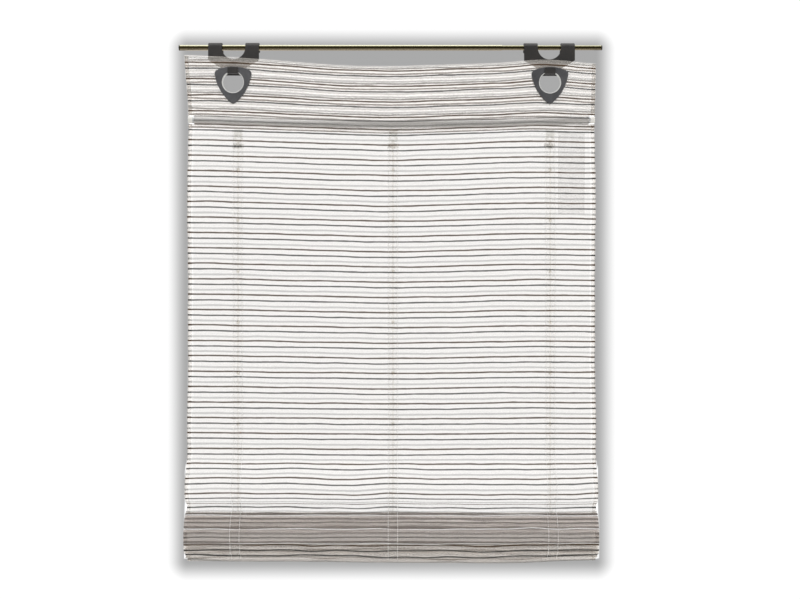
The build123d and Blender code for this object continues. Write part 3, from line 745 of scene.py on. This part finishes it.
def grow(name, tree, lines, look, material, joined=True):
    # runs a tree on lines of points in mm and keeps the result as a mesh
    mesh = bpy.data.meshes.new(name)
    points, pairs = [], []
    for line in lines:
        first = len(points)
        points += [tuple(np.asarray(p, float) * mm) for p in line]
        if joined:
            pairs += [(i, i + 1) for i in range(first, len(points) - 1)]
    mesh.from_pydata(points, pairs, [])
    made = newObject(name, mesh)
    modifier = made.modifiers.new(tree.name, "NODES")
    modifier.node_group = tree
    values = {**look, "Material": material}
    for item in tree.interface.items_tree:
        if item.in_out == "INPUT" and item.name in values:
            modifier[item.identifier] = values[item.name]
    applyModifiers(made)
    made.data.polygons.foreach_set("use_smooth", [True] * len(made.data.polygons))
    return made


edgeColumns = 6  # columns of a sheet that turn back in each side hem


def columnLine(grid, x, offset):
    # a line down a grid at x, moved forward by offset along the sheet's own normal
    row = grid[:, edgeColumns:-edgeColumns]
    j = int(np.abs(row[0, :, 0] - x).argmin())
    a, b = (j, j + 1) if row[0, j, 0] <= x else (j - 1, j)
    share = ((x - row[:, a, 0]) / (row[:, b, 0] - row[:, a, 0]))[:, None]
    line = row[:, a] * (1 - share) + row[:, b] * share
    return line + sheetNormal(line) * offset


stitches, loops = stitchTree(), loopTree()
onTop = clothLook["thickness"] / 2 + 0.15
seamIn = 0.9  # the seams lie this far inside the tape's edges
panelSeams, foldSeams, pieces = [], [], {}
for side, middle in tapePlaces.items():
    upper, upperUvs, lower, lowerUvs = tapeGrid(middle)
    for part, points, uvs in (("tapePanel", upper, upperUvs), ("tapeFolds", lower, lowerUvs)):
        name = f"{part}_{side}"
        pieces[name] = gridSheet(name, points, uvs, tapeLook["thickness"], tapeFabric)
    for way in (-1, 1):
        at = middle + way * (tapeLook["width"] / 2 - seamIn)
        panelSeams.append(columnLine(panelPoints, at, onTop))
        foldSeams.append(columnLine(foldPoints, at, onTop)[:int(np.searchsorted(foldLengths, tapeRun))])
        foldSeams.append(columnLine(tunnelPoints, at, onTop))
panelStitches = grow("panelStitches", stitches, panelSeams, stitchLook, clearThread)
foldStitches = grow("foldStitches", stitches, foldSeams, stitchLook, thread)
print("tapes and their seams made")


# seams across the width: above and under the rod's pocket, and along the facing

crossSeams, hemSeams = [], []
headerFront = len(headerPoints) // 2
frontHeights = headerPoints[headerFront:, headerPoints.shape[1] // 2, 2]
for up in (10.2, -10.8):  # from the pocket's middle
    row = headerFront + int(np.abs(frontHeights - pocketZ(0) - up).argmin())
    crossSeams.append(headerPoints[row, edgeColumns:-edgeColumns] - (0, onTop, 0))
headerStitches = grow("headerStitches", stitches, crossSeams, stitchLook, clearThread)
facingFront = tunnelPoints + sheetNormal(tunnelPoints) * onTop
# along the facing's head, and above and under the bar
for row in (2, tunnelLook["lastRow"] - tunnelLook["firstRow"] + 1, len(tunnelPoints) - 4):
    line = facingFront[row, edgeColumns:-edgeColumns]
    line[:, 2] += 1.2 * softNoise(line[:, 0], float(row), 70, 21.5)
    hemSeams.append(line)
tunnelStitches = grow("tunnelStitches", stitches, hemSeams, hemStitchLook, thread)
print("seams across made")


# woven loops for the cords, and the cords

cordLook = {
    "diameter": 1.5, "y": -8.95, "knotZ": -947.1, "knotR": 1.8,
    "ringTurnZ": -186.0, "ringR": 3.45,  # where the cord turns over the guide's ring
    "splitZ": -196.0,                    # the run that shortens starts here
    "stopperZ": -199.7,
    "length": 0.786,                     # in metres
}
loopPlaces = {"tapeLoops": [-242.0 - 100 * i for i in range(6)], "skirtLoop": [-942.0]}
loopForward = 0.6  # of the cord


def ribbedPiece(name, mesh):
    # braided cord, with its ribs running across
    mesh.name = name
    layer = mesh.uv_layers.new(name="sheetMap")
    for corner in mesh.loops:
        at = mesh.vertices[corner.vertex_index].co
        layer.data[corner.index].uv = (at.x + at.y, at.z)
    mesh.materials.clear()
    mesh.materials.append(cordFabric)
    mesh.polygons.foreach_set("use_smooth", [True] * len(mesh.polygons))
    return newObject(name, mesh)


def cordMesh(name, points):
    # a round cord along a smooth line, and the points of that line
    curve = bpy.data.curves.new(name + "Route", "CURVE")
    curve.dimensions = "3D"
    spline = curve.splines.new("NURBS")
    spline.points.add(len(points) - 1)
    for spot, place in zip(spline.points, points):
        spot.co = (*(np.array(place) * mm), 1)
    spline.order_u, spline.use_endpoint_u = 3, True
    curve.resolution_u = 12
    route = newObject(name + "Route", curve)
    graph = bpy.context.evaluated_depsgraph_get()
    line = bpy.data.meshes.new_from_object(route.evaluated_get(graph), depsgraph=graph)
    path = [v.co.copy() for v in line.vertices]
    curve.bevel_depth = cordLook["diameter"] / 2 * mm
    curve.bevel_resolution = 3
    curve.use_fill_caps = True
    graph.update()
    tube = bpy.data.meshes.new_from_object(route.evaluated_get(graph), depsgraph=graph)
    bpy.data.objects.remove(route)
    return ribbedPiece(name, tube), path


def knotMesh(name, centre):
    # a small overhand knot: a ball with three turns of cord round it
    ball, radius = bmesh.new(), cordLook["knotR"] * mm
    bmesh.ops.create_icosphere(ball, subdivisions=3, radius=radius)
    for v in ball.verts:
        turn = math.atan2(v.co.y, v.co.x) + v.co.z / radius * 2.2
        v.co = v.co * (0.93 + 0.07 * math.sin(3 * turn)) + Vector(centre) * mm
    mesh = bpy.data.meshes.new(name)
    ball.to_mesh(mesh)
    ball.free()
    return ribbedPiece(name, mesh)


cordParts = {}
y, r, turnZ = cordLook["y"], cordLook["ringR"], cordLook["ringTurnZ"]
split, knot = cordLook["splitZ"], cordLook["knotZ"]
for side, x in tapePlaces.items():
    run, path = cordMesh(f"liftCord_{side}", [
        (x, y, z) for z in (split, split - 40, -500, knot + 60, knot)])
    top, _ = cordMesh(f"liftCordTop_{side}", [
        (x, y, split), (x, y, turnZ - 2), (x, y, turnZ + r), (x, y + r, turnZ + r * 1.25),
        (x, y + 2 * r, turnZ + r), (x, y + 2 * r, turnZ - 2), (x, y + 2 * r, cordLook["stopperZ"])])
    end = knotMesh(f"cordKnot_{side}", (x, y, knot))
    cordParts[side] = (run, path, top, end)
    for part, heights in loopPlaces.items():
        name, spots = f"{part}_{side}", [(x, y - loopForward, z) for z in heights]
        pieces[name] = grow(name, loops, [spots], loopLook, loopFabric, joined=False)
print("cords and loops made")


# the stoppers' springs, each a copy of its CAD coil

springs = {}
for side in tapePlaces:
    coil = bmesh.new()
    coil.from_mesh(nodes[f"stopper_spring_{side}"].data)
    bmesh.ops.remove_doubles(coil, verts=coil.verts, dist=0.00001)
    mesh = bpy.data.meshes.new(f"stopperCoil_{side}")
    coil.to_mesh(mesh)
    coil.free()
    mesh.materials.append(springSteel)
    springs[side] = newObject(f"stopperCoil_{side}", mesh)
print("springs made")


# care label: a folded strip of satin, blank, that hangs behind the cloth

labelLook = {"lower": 9.0, "halfGap": 0.45, "curl": 2.4, "thickness": 0.25}  # hangs lower than its solid


def labelGrid():
    low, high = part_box("care_label")
    x = np.linspace(low.x, high.x, 16) / mm
    topZ, footZ = high.z / mm - labelLook["lower"], low.z / mm - labelLook["lower"]
    front, gap = np.linspace(topZ, footZ + 1, 40), labelLook["halfGap"]
    turn = [(-gap * 2 / 3, footZ + 0.4), (0.0, footZ), (gap * 2 / 3, footZ + 0.4)]
    rows = np.array([(-gap, z) for z in front] + turn + [(gap, z) for z in front[::-1]])
    y, z = rows[:, 0][:, None] + boxMiddle("care_label")[1], rows[:, 1][:, None]
    curl = smoothStep((topZ - 40 - z) / 120)
    soft = softNoise(x[None, :], z, 50, 14.0) + 0.4 * softNoise(x[None, :], z, 25, 15.0)
    v = 4.0 * np.arange(len(rows))[:, None]
    return together(x, y + curl * (labelLook["curl"] + soft), z), together(x, v)


labelPoints, labelUvs = labelGrid()
careLabel = gridSheet("careLabel", labelPoints, labelUvs, labelLook["thickness"], labelSatin)
print("label made")


# who moves with what

flatPart = clothLook["headerFoot"] - clothLook["stackTop"]
middleColumn = 80    # near the middle of the width
headerLength, tunnelLength = (float(uvs[-1, middleColumn, 1] - uvs[0, middleColumn, 1])
                              for uvs in (headerUvs, tunnelUvs))


def hangAndFold(piece):
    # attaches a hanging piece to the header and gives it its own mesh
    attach(piece, "header")
    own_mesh(piece)


for piece in (clothHeader, headerStitches, careLabel):
    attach(piece, "header")
for piece in (clothPanel, panelStitches):
    hangAndFold(piece)
for piece in (clothFolds, clothTunnel, foldStitches, tunnelStitches):
    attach(piece, "hem_bar")
for piece, length, held, under in (
        (clothHeader, headerLength, "hung", "header_rod"), (clothPanel, flatPart, "hung", "header_rod"),
        (clothFolds, float(foldLengths[-1]), "gathered", "bottom_bar")):
    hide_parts("blind_cloth")
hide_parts("care_label")
for side, coil in springs.items():
    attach(coil, "header")
    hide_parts(f"stopper_spring_{side}")
    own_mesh(coil)
for side, x in tapePlaces.items():
    upper, lower, hanging, skirt = (
        pieces[f"{part}_{side}"] for part in ("tapePanel", "tapeFolds", "tapeLoops", "skirtLoop"))
    for piece in (upper, hanging):
        hangAndFold(piece)
    for piece in (lower, skirt):
        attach(piece, "hem_bar")
    for piece in (upper, lower, hanging, skirt):
        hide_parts(f"tape_{side}")
    run, path, top, end = cordParts[side]
    hangAndFold(run)
    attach(top, "header")
    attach(end, "hem_bar")
    for piece in (run, top, end):
        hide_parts(f"lift_cord_{side}")
print("pieces ride on their bodies")


# stage, light and camera

def backdropPaint():
    # glowing board with a painted soft grey shadow round the object and a brighter painted window of light
    # behind the cloth, clear from behind to show the blind's back
    material, tree, shader = startMaterial("backdropPaint", {
        "Base Color": (0, 0, 0, 1), "Roughness": 1.0, "Specular IOR Level": 0.0,
        "Emission Color": (1, 1, 1, 1)})
    glow = addNode(tree, "ShaderNodeAttribute", {"attribute_name": "glow"}).outputs["Fac"]
    tree.links.new(glow, shader.inputs["Emission Strength"])
    side = addNode(tree, "ShaderNodeNewGeometry").outputs["Backfacing"]
    clear = addNode(tree, "ShaderNodeBsdfTransparent")
    mixed = addNode(tree, "ShaderNodeMixShader", None, {0: side, 1: shader, 2: clear})
    output = next(n for n in tree.nodes if n.type == "OUTPUT_MATERIAL")
    tree.links.new(mixed.outputs[0], output.inputs["Surface"])
    return material


cameraLook = {"place": (0.0167, -2.213, -0.4973), "lens": 50.4}
stageLook = {
    "wallY": 0.035, "floorZ": -1.35, "floorHalf": 6.0, "floor": "#F2F1EF",  # in metres
    "blindAway": 2.2,       # from the camera to the cloth, in metres
    "open": 1.06,           # glow of the bare board
    "shade": 0.40,          # glow of the painted shadow close to the object
    "shadeWidth": 48.0,     # the shade's width and the object's ends, in mm
    "shadeTop": -6.0,
    "shadeFoot": -1010.0,
    "behind": 1.06,         # glow of the painted window of light behind the cloth
    "behindHeader": 1.34,   # and brighter painted light behind the header's two layers
    "behindHem": 1.3,       # and brighter painted light behind the side hems
    "windowFoot": -1007.0,
    "foldsNearer": 0.016,   # the folds stand nearer to the camera than the panel, by this share
    "holeX": 311.0,         # painted shade: the window stays dark behind the eyelets' holes
    "holeR": 21.5,
}


def backdropGrid():
    look, half = stageLook, clothLook["halfWidth"]
    x = np.concatenate([[-4000, -900], np.arange(-520, 521, 2.5), [900, 4000]])[None, :].astype(float)
    z = np.concatenate([[-1350, -1200], np.arange(-1130, 101, 2), [400, 3000]])[:, None].astype(float)
    # the same places as the camera sees them on the blind
    nearer = look["blindAway"] / (look["wallY"] - cameraLook["place"][1])
    cameraX, cameraZ = cameraLook["place"][0] / mm, cameraLook["place"][2] / mm
    seenX, seenZ = cameraX + (x - cameraX) * nearer, cameraZ + (z - cameraZ) * nearer
    # painted shadow: the board's glow drops to grey close round the object
    outX = np.maximum(np.abs(seenX) - half, 0)
    outZ = np.maximum(np.maximum(seenZ - look["shadeTop"], look["shadeFoot"] - seenZ), 0)
    fade = smoothStep(np.hypot(outX, outZ) / look["shadeWidth"])
    glow = look["shade"] + (look["open"] - look["shade"]) * fade
    # painted light: the window of full light follows the cloth's own edges
    nearFolds = 1 + look["foldsNearer"] * smoothStep((-seenZ - 800) / 40)
    leftEdge, rightEdge = ((way * half + flareAt(way * half, seenZ)) * nearFolds for way in (-1, 1))
    sideways = np.minimum(seenX - leftEdge, rightEdge - seenX)
    upright = np.minimum(spread(topEdge, seenX) + 0.5 - seenZ, seenZ - look["windowFoot"])
    inside = np.minimum(sideways, upright)
    for side, way in (("left", -1), ("right", 1)):
        fromHole = np.hypot(seenX - way * look["holeX"], seenZ - holeZ[side] / mm)
        inside = np.minimum(inside, fromHole - look["holeR"])
    share = smoothStep(inside / 2.5)
    # painted light: more glow behind the header and the side hems
    inHeader = smoothStep((seenZ - clothLook["headerFoot"]) / 12)
    inHem = 1 - smoothStep((sideways - 7) / 4)
    behind = look["behind"] + (look["behindHeader"] - look["behind"]) * inHeader \
        + (look["behindHem"] - look["behind"]) * inHem
    places = together(x, look["wallY"] / mm, z)
    return places * mm, glow * (1 - share) + behind * share


wallPoints, wallGlow = backdropGrid()
wall = meshObject("backdropBoard", wallPoints.reshape(-1, 3), gridFaces(*wallGlow.shape).tolist(),
                  backdropPaint(), smooth=False)
wall.data.attributes.new("glow", "FLOAT", "POINT").data.foreach_set("value", wallGlow.ravel())
floorPaint = startMaterial("floorPaint", {"Base Color": hexToLinear(stageLook["floor"]), "Roughness": 0.8})[0]
far, floorZ = stageLook["floorHalf"], stageLook["floorZ"]
corners = [(-far, -far, floorZ), (far, -far, floorZ), (far, far, floorZ), (-far, far, floorZ)]
floor = meshObject("studioFloor", corners, [(0, 1, 2, 3)], floorPaint, smooth=False)

lights = {
    "keySoftbox": {"place": (-1.2, -2.6, 1.1), "target": (0, 0, -0.45), "size": (1.8, 1.8), "watts": 16},
    "fillSoftbox": {"place": (1.8, -2.4, -0.1), "target": (0, 0, -0.5), "size": (1.6, 1.6), "watts": 12},
    "topSoftbox": {"place": (0.0, -0.25, 1.3), "target": (0, -0.1, 0), "size": (3.2, 0.9), "watts": 26},
    "backSoftbox": {"place": (0.4, 2.4, 0.6), "target": (0, 0, -0.5), "size": (1.6, 1.6), "watts": 24},
}
for name, look in lights.items():
    lamp = bpy.data.lights.new(name, "AREA")
    lamp.shape, lamp.energy = "RECTANGLE", look["watts"]
    lamp.size, lamp.size_y = look["size"]
    made = newObject(name, lamp)
    made.location = look["place"]
    made.rotation_euler = (Vector(look["target"]) - Vector(look["place"])).to_track_quat("-Z", "Y").to_euler()

roomLook = {"colour": "#F3F4F5", "strength": 0.36}
world = bpy.data.worlds.new("paleRoom")
world.use_nodes = True
sky = next(n for n in world.node_tree.nodes if n.type == "BACKGROUND")
sky.inputs["Color"].default_value = hexToLinear(roomLook["colour"])
sky.inputs["Strength"].default_value = roomLook["strength"]
bpy.context.scene.world = world
# the folds are many sheer layers deep, so light has to get through more of them than usual
bpy.context.scene.cycles.transparent_max_bounces = 40
bpy.context.scene.view_settings.view_transform = "Standard"

camera = newObject("camera", bpy.data.cameras.new("camera"))
camera.data.lens = cameraLook["lens"]
camera.location = cameraLook["place"]
camera.rotation_euler = (math.radians(90), 0, 0)
bpy.context.scene.camera = camera
print("stage, lights and camera set")

bpy.context.view_layer.update()
print("scene done")
